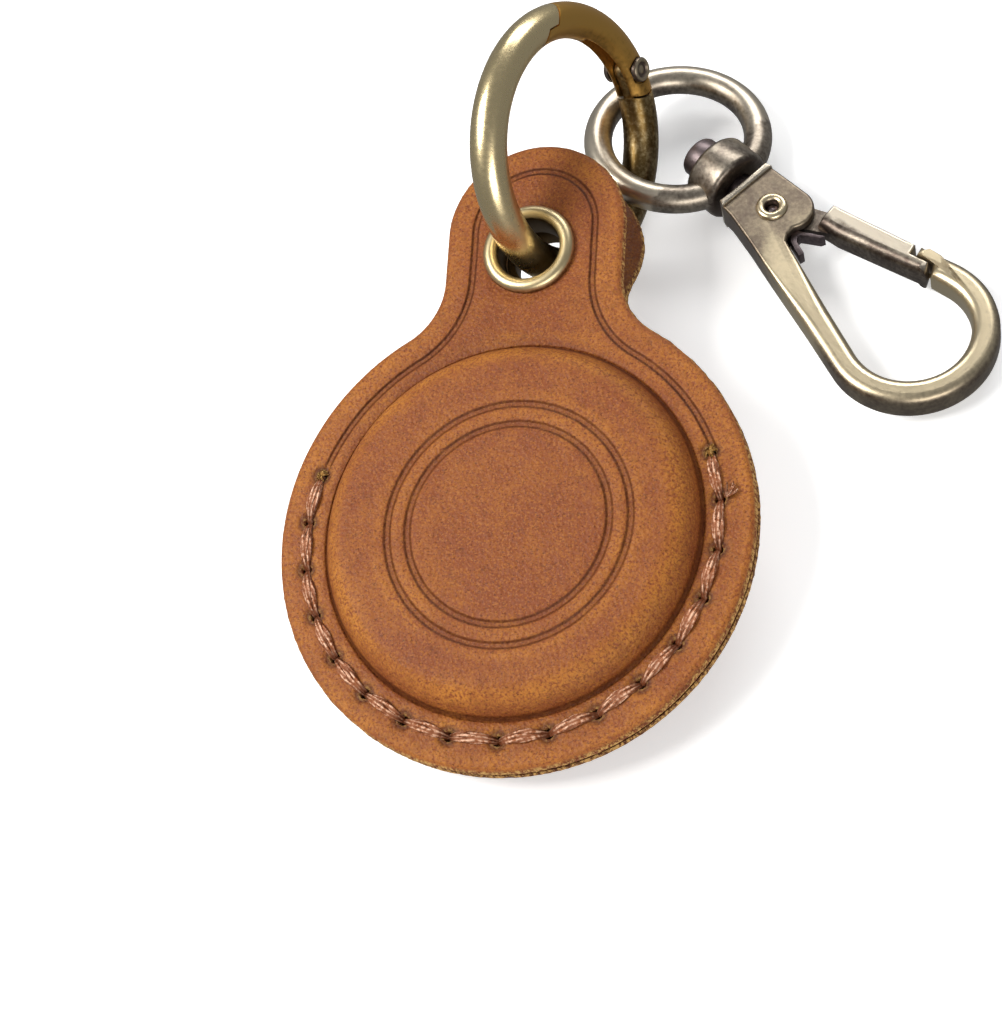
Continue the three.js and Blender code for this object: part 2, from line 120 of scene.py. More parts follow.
MM = Matrix.Scale(0.001, 4)
JOINTS = {joint["name"]: joint for joint in frame["joints"]}
MOUNTS = {mount["name"]: mount for mount in frame["record"]["mounts"]}


def frame_from(origin, z_axis, x_hint):
    """A frame in millimetres with its z along one axis and its x as near as can be to a hint."""
    z = Vector(z_axis).normalized()
    x = Vector(x_hint)
    x = (x - z * x.dot(z)).normalized()
    y = z.cross(x)
    turn = Matrix((x, y, z)).transposed().to_4x4()
    return Matrix.Translation(origin) @ turn @ MM


# The fob lies tilted on the table; its frame is found from the flat top of its dome.
FOB_TURN = Matrix.Rotation(radians(8.17), 4, "X") @ Matrix.Rotation(radians(-0.17), 4, "Y")
dome_top = Vector(MOUNTS["front_face"]["pos_m"])
fob_z = Vector(MOUNTS["front_face"]["axis"])
FOB = Matrix.Translation(dome_top - fob_z * DOME_TOP / 1000) @ FOB_TURN @ MM
RING = frame_from(JOINTS["ring_turn"]["pos_m"], JOINTS["ring_turn"]["axis"], -fob_z)
loop_axis = FOB_TURN @ Vector((0.195, 0.251, 0.948))
LOOP = frame_from(JOINTS["hook_swivel"]["pos_m"], loop_axis, JOINTS["hook_swivel"]["axis"])
HOOK = LOOP @ Matrix.Rotation(radians(HOOK_TURN), 4, "X")


# ---- materials ----

class Nodes:
    """A short way to write a node tree."""

    def __init__(self, name):
        self.material = bpy.data.materials.new(name)
        self.material.use_nodes = True
        self.tree = self.material.node_tree
        self.tree.nodes.clear()
        output = self.tree.nodes.new("ShaderNodeOutputMaterial")
        self.shader = self.tree.nodes.new("ShaderNodeBsdfPrincipled")
        self.tree.links.new(self.shader.outputs[0], output.inputs["Surface"])
        self.coordinate = self.tree.nodes.new("ShaderNodeTexCoord").outputs["Object"]

    def put(self, socket, value):
        if isinstance(value, bpy.types.NodeSocket):
            self.tree.links.new(value, socket)
        elif isinstance(value, (tuple, list)) and len(value) == 3 and len(socket.default_value) == 4:
            socket.default_value = (*value, 1.0)
        else:
            socket.default_value = value

    def node(self, kind, setting=None, **inputs):
        """A new node. Its one setting is made first, as it can change which sockets there are."""
        made = self.tree.nodes.new("ShaderNode" + kind)
        if setting:
            setattr(made, *setting)
        for name, value in inputs.items():
            self.put(made.inputs[name.replace("_", " ")], value)
        return made

    def attribute(self, name):
        return self.node("Attribute", ("attribute_name", name)).outputs["Fac"]

    def math(self, operation, *values, clamp=False):
        node = self.node("Math", ("operation", operation))
        node.use_clamp = clamp
        for socket, value in zip(node.inputs, values):
            self.put(socket, value)
        return node.outputs[0]

    def plus(self, first, second, clamp=False):
        return self.math("ADD", first, second, clamp=clamp)

    def minus(self, first, second, clamp=False):
        return self.math("SUBTRACT", first, second, clamp=clamp)

    def times(self, first, second):
        return self.math("MULTIPLY", first, second)

    def most(self, first, second):
        return self.math("MAXIMUM", first, second)

    def noise(self, scale, detail=3.0, rough=0.55, stretch=None):
        vector = self.coordinate
        if stretch:
            vector = self.node("Mapping", Vector=vector, Scale=stretch).outputs[0]
        node = self.node("TexNoise", Vector=vector, Scale=scale, Detail=detail, Roughness=rough)
        return node.outputs["Fac"]

    def cells(self, scale):
        return self.node("TexVoronoi", Vector=self.coordinate, Scale=scale).outputs["Distance"]

    def ramp(self, value, stops):
        low, high = stops
        eased = ("interpolation_type", "SMOOTHSTEP")
        return self.node("MapRange", eased, Value=value, From_Min=low, From_Max=high).outputs["Result"]

    def mix(self, factor, first, second):
        node = self.node("Mix", ("data_type", "RGBA"), Factor=factor, A=first, B=second)
        return node.outputs["Result"]

    def bump(self, height, strength, distance, normal=None):
        node = self.node("Bump", Strength=strength, Distance=distance, Height=height)
        if normal:
            self.put(node.inputs["Normal"], normal)
        return node.outputs[0]

    def finish(self, **values):
        for name, value in values.items():
            self.put(self.shader.inputs[name.replace("_", " ")], value)
        return self.material


def creases(n, rings):
    """Where the leather is pressed in, and the dark lines of painted shade along the pressed channels:
    two beside the crease and each embossed ring, one round the foot of the dome.
    """
    edge, radius, stamp, fade = (n.attribute(name) for name in ("edge", "radius", "stamp", "fade"))

    def line(value, centre, half):
        away = n.math("ABSOLUTE", n.minus(value, centre))
        return n.minus(1.0, n.ramp(away, (half * 0.35, half * 1.5)))

    pressed = [n.times(line(edge, CREASE_INSET, 0.26), fade), line(radius, DOME_R + 0.1, 0.2)]
    crease_shade_lines = [n.times(line(edge, CREASE_INSET + side * 0.25, 0.13), fade) for side in (-1, 1)]
    crease_shade_lines.append(n.times(line(radius, DOME_R + 0.08, 0.17), 0.95))
    for centre in rings:
        pressed.append(line(stamp, centre, 0.28))
        crease_shade_lines += [n.times(line(stamp, centre + side * 0.27, 0.13), 0.8) for side in (-1, 1)]
    uneven = n.plus(n.times(n.noise(700.0, 3.0, 0.6), 0.8), 0.35, clamp=True)
    return reduce(n.most, pressed), n.times(reduce(n.most, crease_shade_lines), uneven)


def leather(name, red, tan, dark, fibre, rings):
    """Pull-up leather: red-brown, paler and tan where it is stretched, with painted shade in its
    creases, pressed channels and stitch holes.
    """
    n = Nodes(name)
    channels, painted_crease_shade = creases(n, rings)
    clouds = n.noise(140.0, 4.0, 0.6)
    mottle = n.noise(520.0, 5.0, 0.65)
    speck = n.noise(3600.0, 3.0, 0.65)
    grain = n.cells(2600.0)
    # Painted shade: dark in the stitch holes, along the lines beside the creases and a little in the
    # pressed channels.
    painted_shade = n.most(n.attribute("painted_shade"), n.times(painted_crease_shade, 0.88))
    painted_shade = n.most(painted_shade, n.times(channels, 0.22))
    cut = n.attribute("cut")

    patch = n.ramp(n.plus(n.times(clouds, 0.5), n.times(mottle, 0.5)), (0.44, 0.60))
    stretched = n.plus(n.times(patch, 0.30), n.attribute("worn"), clamp=True)
    colour = n.mix(n.times(stretched, n.ramp(speck, (0.36, 0.56))), red, tan)
    flecks = n.times(n.ramp(n.noise(4600.0, 2.0, 0.6), (0.50, 0.66)), 0.42)
    colour = n.mix(flecks, colour, tan)
    pores = n.times(n.ramp(n.noise(4400.0, 3.0, 0.7, (1.0, 1.3, 1.0)), (0.53, 0.68)), 0.60)
    colour = n.mix(pores, colour, dark)
    shade = n.times(n.ramp(n.noise(900.0, 4.0, 0.7), (0.52, 0.75)), 0.28)
    colour = n.mix(shade, colour, dark)
    colour = n.mix(painted_shade, colour, dark)
    core = tuple(0.2 * a + 0.8 * b for a, b in zip(dark, red))
    loose = n.ramp(n.noise(3200.0, 4.0, 0.7, (1.0, 1.0, 0.5)), (0.42, 0.60))
    colour = n.mix(cut, colour, n.mix(loose, core, fibre))

    fine = n.plus(n.times(grain, 0.5), n.times(speck, 0.6))
    normal = n.bump(fine, 0.75, 0.00018)
    normal = n.bump(mottle, 0.25, 0.0004, normal)
    normal = n.bump(n.times(channels, -1.0), 0.8, 0.00016, normal)
    normal = n.bump(n.times(n.noise(3000.0, 4.0, 0.8), cut), 0.8, 0.0004, normal)
    polish = n.plus(n.plus(n.times(mottle, 0.28), 0.36), n.times(cut, 0.35))
    return n.finish(Base_Color=colour, Roughness=polish, Normal=normal, Specular_IOR_Level=0.22)


def antique(name, bright, dark, rough, patchy=0.5):
    """Plated metal, rubbed bright on its outer faces and dark in its recesses; on the ring, its gate
    and the loop the worn level it reads also holds painted light.
    """
    n = Nodes(name)
    worn = n.attribute("worn")
    clouds = n.noise(420.0, 3.0, 0.6)
    streak = n.noise(2600.0, 3.0, 0.6)
    speck = n.noise(7000.0, 2.0, 0.5)
    level = n.plus(worn, n.times(n.minus(clouds, 0.5), patchy))
    level = n.plus(level, n.times(n.minus(streak, 0.5), patchy), clamp=True)
    colour = n.mix(n.ramp(level, (0.0, 0.55)), dark, bright)
    polish = n.plus(n.times(streak, 0.16), rough - 0.08)
    polish = n.plus(polish, n.times(n.minus(1.0, worn, clamp=True), 0.12))
    normal = n.bump(n.plus(n.times(streak, 0.7), n.times(speck, 0.3)), 0.16, 0.00006)
    return n.finish(Base_Color=colour, Metallic=1.0, Roughness=polish, Normal=normal)


def thread_fibre(name, colour, light, dark):
    """Waxed thread: its plies run along it, with a painted highlight along the crest of each ply,
    broken by fuzz, painted shade between the plies and painted shade down in the holes.
    """
    n = Nodes(name)
    plies = n.plus(n.times(n.attribute("along"), 0.45), n.times(n.attribute("around"), 3.0))
    twist = n.math("SINE", n.times(plies, 2 * pi))
    strand = n.plus(n.times(twist, 0.5), 0.5)
    fuzz = n.noise(3000.0, 3.0, 0.6)
    # Painted shade between the plies, painted highlight on their crests, painted shade in the holes.
    mixed = n.mix(n.plus(n.times(strand, 0.5), fuzz, clamp=True), dark, colour)
    mixed = n.mix(n.times(n.ramp(fuzz, (0.42, 0.60)), strand), mixed, light)
    mixed = n.mix(n.times(n.attribute("deep"), 0.8), mixed, dark)
    normal = n.bump(strand, 0.8, 0.00025)
    normal = n.bump(fuzz, 0.4, 0.0001, normal)
    return n.finish(Base_Color=mixed, Roughness=0.5, Normal=normal, Specular_IOR_Level=0.2)


def moulded(name, colour, metallic, rough):
    n = Nodes(name)
    cloud = n.noise(900.0, 3.0, 0.5)
    shade = tuple(channel * 0.86 for channel in colour)
    normal = n.bump(n.noise(5000.0, 2.0, 0.5), 0.1, 0.00005)
    return n.finish(Base_Color=n.mix(cloud, colour, shade), Metallic=metallic, Normal=normal,
                    Roughness=n.plus(n.times(cloud, 0.15), rough))


FRONT_LEATHER = leather("leather_front", (0.228, 0.061, 0.018), (0.46, 0.172, 0.026),
                        (0.045, 0.01, 0.004), (0.58, 0.33, 0.1), EMBOSSED_RINGS)
# The back panel: the front's leather with its colours darkened to about half, painted shade for where
# it lies under the fob.
BACK_LEATHER_PAINTED_SHADE = leather("leather_back", (0.12, 0.034, 0.011), (0.26, 0.095, 0.012),
                       (0.024, 0.008, 0.003), (0.56, 0.32, 0.1), ())
THREAD = thread_fibre("waxed_thread", (0.42, 0.15, 0.062), (0.9, 0.56, 0.38), (0.12, 0.03, 0.01))
TUFT = thread_fibre("thread_tuft", (0.46, 0.22, 0.045), (0.74, 0.46, 0.15), (0.17, 0.065, 0.015))
BRASS = antique("antique_brass", (0.8, 0.65, 0.37), (0.13, 0.078, 0.024), 0.27)
GATE_BRASS = antique("antique_gate_brass", (0.62, 0.35, 0.085), (0.14, 0.068, 0.018), 0.34)
EYELET_BRASS = antique("eyelet_brass", (0.64, 0.52, 0.3), (0.14, 0.088, 0.034), 0.36)
BRONZE = antique("antique_bronze", (0.66, 0.58, 0.46), (0.1, 0.076, 0.062), 0.28, patchy=0.35)
PLATE = antique("antique_plate", (0.68, 0.57, 0.38), (0.15, 0.115, 0.092), 0.3, patchy=0.28)
DARK = antique("dark_steel", (0.2, 0.16, 0.16), (0.05, 0.04, 0.042), 0.36)
WHITE = moulded("tag_plastic", (0.78, 0.78, 0.76), 0.0, 0.35)
STEEL = moulded("cell_steel", (0.62, 0.62, 0.61), 1.0, 0.22)


# ---- mesh helpers ----

def new_object(name, data, place=None, turn=None):
    made = bpy.data.objects.new(name, data)
    bpy.context.scene.collection.objects.link(made)
    if place:
        made.location = place
        made.rotation_mode = "QUATERNION"
        made.rotation_quaternion = turn
    return made


def add_object(name, body, material, vertices, faces, matrix, replaces=(), slot=None,
               attributes=None, smooth=60.0, bends=None):
    """A piece from points in millimetres in one of the frames above.

    bends, for a spring, is a second body and two points, which are not used; the piece is left in its
    place in the world, joined to no body."""
    mesh = bpy.data.meshes.new(name)
    mesh.from_pydata([matrix @ Vector(v) for v in vertices], [], faces)
    mesh.validate()
    for key, values in (attributes or {}).items():
        layer = mesh.attributes.new(key, "FLOAT", "POINT")
        layer.data.foreach_set("value", values)
    mesh.materials.append(material)
    piece = new_object(name, mesh)
    mesh.polygons.foreach_set("use_smooth", [True] * len(mesh.polygons))
    mesh.set_sharp_from_angle(angle=radians(smooth))
    if bends:
        second, start, end = bends
        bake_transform(piece)
    else:
        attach(piece, body)
    if replaces:
        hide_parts(*replaces)


def arc(x, y, radius, start, end, step=0.35):
    """Points on an arc, about one step apart."""
    count = max(2, int(abs(radians(end - start)) * radius / step))
    points = []
    for i in range(count + 1):
        angle = radians(start + (end - start) * i / count)
        points.append(Vector((x + radius * cos(angle), y + radius * sin(angle))))
    return points


def smoothstep(low, high, value):
    t = min(1.0, max(0.0, (value - low) / (high - low)))
    return t * t * (3.0 - 2.0 * t)


def bell(value, centre, width):
    return exp(-(((value - centre) / width) ** 2))


# ---- leather panels ----

def panel_outline(head_x, head_y, half):
    """Keyhole outline: a disc, concave fillets up into the neck, and a round tab."""
    right, left = head_x + half + NECK_FILLET, head_x - half - NECK_FILLET
    reach = DISC_R + NECK_FILLET
    right_y, left_y = sqrt(reach ** 2 - right ** 2), sqrt(reach ** 2 - left ** 2)
    right_angle, left_angle = degrees(atan2(right_y, right)), degrees(atan2(left_y, left))
    around = (arc(0, 0, DISC_R, left_angle, right_angle + 360)
              + arc(right, right_y, NECK_FILLET, right_angle + 180, 180)
              + arc(head_x, head_y, half, 0, 180)
              + arc(left, left_y, NECK_FILLET, 0, left_angle - 180))
    points = around[:1]
    for point in around:
        if (point - points[-1]).length > 0.12:
            points.append(point)
    if (points[0] - points[-1]).length < 0.12:
        points.pop()
    return fill_gaps(points, 0.4)


def fill_gaps(points, longest):
    """Adds points so that no side of a closed outline is longer than the given length."""
    filled = []
    for i, point in enumerate(points):
        after = points[(i + 1) % len(points)]
        count = max(1, int((after - point).length / longest))
        filled += [point.lerp(after, k / count) for k in range(count)]
    return filled


def outline_normals(points):
    """Outward normals of a counter-clockwise outline."""
    normals = []
    for i in range(len(points)):
        along = points[(i + 1) % len(points)] - points[i - 1]
        normals.append(Vector((along.y, -along.x)).normalized())
    return normals


def inside(point, polygon):
    crossings = 0
    for i, a in enumerate(polygon):
        b = polygon[(i + 1) % len(polygon)]
        if (a.y > point.y) != (b.y > point.y):
            if point.x < a.x + (point.y - a.y) * (b.x - a.x) / (b.y - a.y):
                crossings += 1
    return crossings % 2 == 1


STITCH_ANGLES = [radians(STITCH_START + STITCH_STEP * i) for i in range(STITCHES)]
STITCH_POINTS = [Vector((STITCH_X + STITCH_R * cos(a), STITCH_R * sin(a))) for a in STITCH_ANGLES]


def swell(radius, plateau, rise):
    if radius >= DOME_R:
        return 0.0
    t = (DOME_R - radius) / (DOME_R - plateau)
    return rise if t >= 1.0 else rise * sin(pi / 2 * t ** 0.68)


class Panel:
    """A leather panel as a fine triangle mesh with a cut edge, in the fob frame."""

    def __init__(self, outline, eyelet, facing):
        self.outline = outline
        self.facing = facing
        self.holes = [(eyelet, EYELET_HOLE)] + [(p, STITCH_HOLE) for p in STITCH_POINTS]
        fine = fill_gaps(outline, 0.1)
        self.tree = kdtree.KDTree(len(fine))
        for i, point in enumerate(fine):
            self.tree.insert((point.x, point.y, 0.0), i)
        self.tree.balance()

    def edge_distance(self, x, y):
        return self.tree.find((x, y, 0.0))[2]

    def sample_points(self):
        normals = outline_normals(self.outline)
        points = []
        for inset in (0.12, 0.3, 0.6):
            points += [p - n * inset for p, n in zip(self.outline, normals)]
        for step in (-0.5, -0.36, -0.27, -0.18, -0.09, 0.0, 0.09, 0.18, 0.27, 0.36, 0.5):
            inset = CREASE_INSET + step
            points += [p - n * inset for p, n in zip(self.outline, normals) if p.y > 3.0]
        radii = [0.5 * i for i in range(1, 18)] + [12.4, 12.9, 13.4, 13.9]
        radii += [14.3 + 0.28 * i for i in range(16)]
        for radius in radii:
            points += arc(0, 0, radius, 0, 360, 0.42)[:-1]
        for centre in EMBOSSED_RINGS:
            for i in range(-4, 5):
                radius = centre + 0.14 * i
                points += arc(STAMP.x, STAMP.y, radius, 0, 360, 0.4 * radius / centre)[:-1]
        for centre, size in self.holes:
            for extra in (0.25, 0.6):
                points += arc(centre.x, centre.y, size + extra, 0, 360, 0.4)[:-1]
        spacing = 0.5
        for row in range(-50, 95):
            for column in range(-50, 51):
                x = (column + 0.5 * (row % 2)) * spacing
                y = row * spacing * 0.866
                if hypot(x, y) > 18.7:
                    points.append(Vector((x, y)))

        def wanted(p):
            clear = all((p - c).length >= size + 0.12 for c, size in self.holes)
            if not clear or self.edge_distance(p.x, p.y) < 0.1:
                return False
            return hypot(p.x, p.y) <= DISC_R or inside(p, self.outline)

        return [p for p in points if wanted(p)]

    def build(self, top, bottom, tone):
        points, edges = [], []
        loops = [self.outline] + [arc(c.x, c.y, r, 0, 360, 0.3)[:-1] for c, r in self.holes]
        for loop in loops:
            first = len(points)
            points += loop
            edges += [(first + i, first + (i + 1) % len(loop)) for i in range(len(loop))]
        points += self.sample_points()
        flat, _, triangles, *_ = geometry.delaunay_2d_cdt(points, edges, [], 0, 1e-4)
        kept = []
        for triangle in triangles:
            centre = (flat[triangle[0]] + flat[triangle[1]] + flat[triangle[2]]) / 3.0
            if any((centre - c).length < size * 0.97 for c, size in self.holes):
                continue
            a, b, c = (flat[i] for i in triangle)
            large = max((b - a).length, (c - b).length, (a - c).length) > 1.0
            near = self.edge_distance(centre.x, centre.y) < 0.6
            if (large or near) and not inside(centre, self.outline):
                continue
            turn = (b - a).x * (c - a).y - (b - a).y * (c - a).x
            if abs(turn) < 1e-7:
                continue
            kept.append(tuple(triangle) if turn > 0 else tuple(reversed(triangle)))
        vertices = [(p.x, p.y, top(p.x, p.y)) for p in flat]
        vertices += [(p.x, p.y, bottom(p.x, p.y)) for p in flat]
        count = len(flat)
        faces = kept + [tuple(count + i for i in reversed(t)) for t in kept]
        cut = self.add_cut_edge(flat, kept, vertices, faces)
        return vertices, faces, self.values(flat, tone, cut)

    def add_cut_edge(self, flat, triangles, vertices, faces):
        """Joins top to bottom all round with a rough, slightly bulging edge."""
        count = len(flat)
        cut = [0.0] * (2 * count)
        used = {(t[k], t[(k + 1) % 3]): True for t in triangles for k in range(3)}
        border = {a: b for (a, b) in used if (b, a) not in used}
        before = {b: a for a, b in border.items()}
        fractions = (0.1, 0.3, 0.5, 0.7, 0.9)
        rows = {}
        for a, b in border.items():
            along = flat[b] - flat[before.get(a, a)]
            out = Vector((along.y, -along.x)).normalized()
            top, bottom = vertices[a][2], vertices[count + a][2]
            rows[a] = [a]
            for fraction in fractions:
                seed = Vector((flat[a].x * 2.2, flat[a].y * 2.2, fraction * 9.0))
                push = 0.09 * sin(pi * fraction) + 0.09 * noise.noise(seed)
                place = flat[a] + out * push
                rows[a].append(len(vertices))
                vertices.append((place.x, place.y, top + (bottom - top) * fraction))
                cut.append(1.0)
            rows[a].append(count + a)
            cut[count + a] = 1.0
            cut[a] = 0.55
        for a, b in border.items():
            for k in range(len(fractions) + 1):
                faces.append((rows[a][k], rows[a][k + 1], rows[b][k + 1], rows[b][k]))
        return cut

    def values(self, flat, tone, cut):
        """What the shader reads at each point: top, bottom, then cut edge."""
        walls = len(cut) - 2 * len(flat)
        tones = [tone(p.x, p.y) for p in flat]
        hidden = [(0.1, 0.0)] * len(flat)
        both = tones + hidden if self.facing > 0 else hidden + tones

        def twice(measure, on_walls=0.0):
            return [measure(p.x, p.y) for p in flat] * 2 + [on_walls] * walls

        return {
            "worn": [worn for worn, _ in both] + [0.0] * walls,
            "painted_shade": [painted_shade for _, painted_shade in both] + [0.0] * walls,
            "cut": cut,
            "edge": twice(self.edge_distance),
            "radius": twice(hypot, DISC_R),
            "stamp": twice(from_stamp, DISC_R),
            "fade": twice(crease_fade),
        }


def from_stamp(x, y):
    return hypot(x - STAMP.x, y - STAMP.y)


def crease_fade(x, y):
    return smoothstep(*CREASE_FADE, y)


def ripple(x, y):
    """The slow unevenness of a moulded hide."""
    wide = noise.noise(Vector((x * 0.16, y * 0.16, 3.7)))
    close = noise.noise(Vector((x * 0.55, y * 0.55, 8.1)))
    return 0.07 * wide + 0.025 * close


def nearest_stitch(x, y):
    return min(hypot(x - p.x, y - p.y) for p in STITCH_POINTS)


def stitch_dip(x, y):
    return bell(nearest_stitch(x, y), STITCH_HOLE, 0.45)


def channel(distance, half, depth):
    """How deep a pressed channel is at some distance from its middle."""
    return depth * (1.0 - smoothstep(half * 0.5, half * 1.8, abs(distance)))


def pressed_in(x, y, edge, foot, dip):
    """How far a face sinks at its crease, the foot of its dome, its edge and its stitches."""
    sunk = channel(edge - CREASE_INSET, 0.28, 0.1) * crease_fade(x, y)
    sunk += foot * bell(hypot(x, y), DOME_R + 0.12, 0.24)
    sunk += 0.28 * (1.0 - smoothstep(0.0, 0.45, edge)) ** 2
    return sunk + dip * stitch_dip(x, y)


def patches(x, y, layer):
    return noise.noise(Vector((x * 0.22, y * 0.22, layer)))


def front_panel():
    eyelet = FRONT_EYELET.xy
    panel = Panel(panel_outline(TAB_X, TAB_Y, TAB_HALF), eyelet, 1)

    def top(x, y):
        edge, stamp = panel.edge_distance(x, y), from_stamp(x, y)
        height = SURFACE + swell(hypot(x, y), PLATEAU_R, FRONT_RISE)
        height += ripple(x, y) * smoothstep(0.0, 1.5, edge)
        for centre in EMBOSSED_RINGS:
            height -= channel(stamp - centre, 0.3, 0.1)
            height += 0.06 * (bell(stamp, centre + 0.75, 0.35) + bell(stamp, centre - 0.75, 0.35))
        height -= 0.15 * bell(hypot(x - eyelet.x, y - eyelet.y), RIM_R, 0.7)
        return height - pressed_in(x, y, edge, 0.16, 0.22)

    def bottom(x, y):
        return PANEL_GAP / 2 + swell(hypot(x, y), PLATEAU_R, FRONT_RISE) * 0.93

    def tone(x, y):
        radius, edge, stamp = hypot(x, y), panel.edge_distance(x, y), from_stamp(x, y)
        worn = 0.66 * bell(radius, 16.4, 0.9) - 0.10 * bell(radius, 13.6, 1.0)
        worn += 0.50 * bell(stamp, 10.5, 0.55) + 0.40 * bell(stamp, 12.4, 0.5)
        worn += 0.40 * bell(edge, 0.7, 0.7)
        if radius > DOME_R:
            worn += 0.30 * bell(edge, 1.7, 1.0) * crease_fade(x, y)
            worn += 0.34 * bell(radius, 19.0, 0.5) + 0.08 * (y < 14.0)
        worn += 0.35 * bell(nearest_stitch(x, y), 1.1, 0.4)
        worn -= 0.12 * (1.0 - smoothstep(7.6, 9.4, stamp))
        # The second value is painted shade in the stitch holes.
        return max(0.0, worn + 0.30 * patches(x, y, 1.3)), 0.9 * stitch_dip(x, y)

    vertices, faces, values = panel.build(top, bottom, tone)
    add_object("leather_front", "fob", FRONT_LEATHER, vertices, faces, FOB, ("front_panel",),
               "leather_front", values)


def back_middle(y):
    """Height of the back panel's mid-line, eased between the bends."""
    for (y0, z0), (y1, z1) in zip(BACK_TAB_BEND, BACK_TAB_BEND[1:]):
        if y <= y1:
            return z0 + (z1 - z0) * max(0.0, (y - y0) / (y1 - y0))
    return BACK_TAB_BEND[-1][1]


def back_bend(x, y):
    eased = sum(back_middle(y + 0.3 * k) for k in range(-2, 3)) / 5.0
    curl = 0.11 * max(0.0, x - 5.0) ** 2 * smoothstep(21.5, 24.5, y)
    return eased - curl


def back_panel():
    outline = panel_outline(BACK_TAB_X, BACK_TAB_Y, BACK_TAB_HALF)
    for point in outline:
        if point.x > 0:
            point.x -= 1.0 * bell(point.y, 24.5, 3.0)
    panel = Panel(outline, BACK_EYELET.xy, -1)

    def bulge(x, y):
        return swell(hypot(x, y), PLATEAU_R - 1.2, BACK_RISE)

    def top(x, y):
        return back_bend(x, y) + LEATHER / 2 - bulge(x, y) * 0.93

    def bottom(x, y):
        edge = panel.edge_distance(x, y)
        height = back_bend(x, y) - LEATHER / 2 - bulge(x, y)
        height += ripple(x + 40.0, y) * 0.6 * smoothstep(0.0, 1.5, edge)
        return height + pressed_in(x, y, edge, 0.14, 0.2)

    def tone(x, y):
        worn = 0.45 * bell(hypot(x, y), 15.9, 1.2) + 0.3 * bell(panel.edge_distance(x, y), 0.5, 0.5)
        # The second value is painted shade in the stitch holes.
        return max(0.0, worn + 0.22 * patches(x, y, 6.3)), 0.9 * stitch_dip(x, y)

    vertices, faces, values = panel.build(top, bottom, tone)
    add_object("leather_back", "fob", BACK_LEATHER_PAINTED_SHADE, vertices, faces, FOB, ("back_panel",),
               "leather_back", values)


front_panel()
back_panel()


# ---- tubes, turned pieces and plates ----

def skin(rows):
    """Points and faces of a closed shape given as rows of points, with both ends filled in."""
    count = len(rows[0])
    last = (len(rows) - 1) * count
    faces = [tuple(reversed(range(count))), tuple(range(last, last + count))]
    for first in range(0, last, count):
        for k in range(count):
            a, b = first + k, first + (k + 1) % count
            faces.append((a, b, b + count, a + count))
    return [point for row in rows for point in row], faces


def tube(path, radius, sides):
    """A tube along a list of points; radius is a number or one number for each point."""
    path = [Vector(p) for p in path]
    sizes = radius if isinstance(radius, list) else [radius] * len(path)
    side = (path[1] - path[0]).normalized().orthogonal().normalized()
    rows, run = [], []
    travelled = 0.0
    for i, point in enumerate(path):
        if i:
            travelled += (point - path[i - 1]).length
        ahead = (path[min(i + 1, len(path) - 1)] - path[max(i - 1, 0)]).normalized()
        side = (side - ahead * side.dot(ahead)).normalized()
        up = ahead.cross(side)
        turns = [2 * pi * k / sides for k in range(sides)]
        rows.append([point + (side * cos(a) + up * sin(a)) * sizes[i] for a in turns])
        run += [travelled] * sides
    return *skin(rows), run, [k / sides for k in range(sides)] * len(path)


def gather(parts):
    """Joins several (vertices, faces, run, turn) meshes into one."""
    vertices, faces, run, turn = [], [], [], []
    for part in parts:
        first = len(vertices)
        vertices += part[0]
        faces += [tuple(first + i for i in face) for face in part[1]]
        run += part[2]
        turn += part[3]
    return vertices, faces, {"along": run, "around": turn}


def lathe(profile, sides=96):
    """Turns a closed or axis-to-axis (radius, height) profile about z."""
    closed = profile[0] == profile[-1]
    rings = profile[:-1] if closed else profile
    vertices, faces, first = [], [], []
    for radius, height in rings:
        first.append(len(vertices))
        if radius == 0:
            vertices.append((0.0, 0.0, height))
            continue
        for k in range(sides):
            angle = 2 * pi * k / sides
            vertices.append((radius * cos(angle), radius * sin(angle), height))
    pairs = [(i, i + 1) for i in range(len(rings) - 1)]
    if closed:
        pairs.append((len(rings) - 1, 0))
    for i, j in pairs:
        for k in range(sides):
            after = (k + 1) % sides
            corners = [first[row] + (turn if rings[row][0] else 0)
                       for row, turn in ((i, k), (i, after), (j, after), (j, k))]
            faces.append(tuple(dict.fromkeys(corners)))
    return vertices, faces


def prism(outline, low, high):
    return skin([[(p[0], p[1], height) for p in outline] for height in (low, high)])


def plate(outline, half, bevel_at, steps=5):
    """A flat plate with rounded edges; bevel_at gives the rounding at each outline point."""
    normals = outline_normals(outline)

    def row(side, angle, inset=0.0):
        made = []
        for p, normal in zip(outline, normals):
            bevel = bevel_at(p)
            place = p - normal * (bevel * (1.0 - cos(angle)) + inset)
            made.append((place.x, place.y, side * (half - bevel + bevel * sin(angle))))
        return made

    turns = [pi / 2 * k / steps for k in range(steps + 1)]
    rows = [row(-1, pi / 2, 0.05)] + [row(-1, angle) for angle in reversed(turns)]
    return skin(rows + [row(1, angle) for angle in turns] + [row(1, pi / 2, 0.05)])


def about_x(shape):
    """Turns a piece drawn about z so that it lies along x."""
    vertices, faces = shape
    return [(v[2], v[1], -v[0]) for v in vertices], faces


def scratch(shape):
    mesh = bpy.data.meshes.new("scratch")
    mesh.from_pydata(shape[0], [], shape[1])
    mesh.validate()
    return new_object("scratch", mesh)


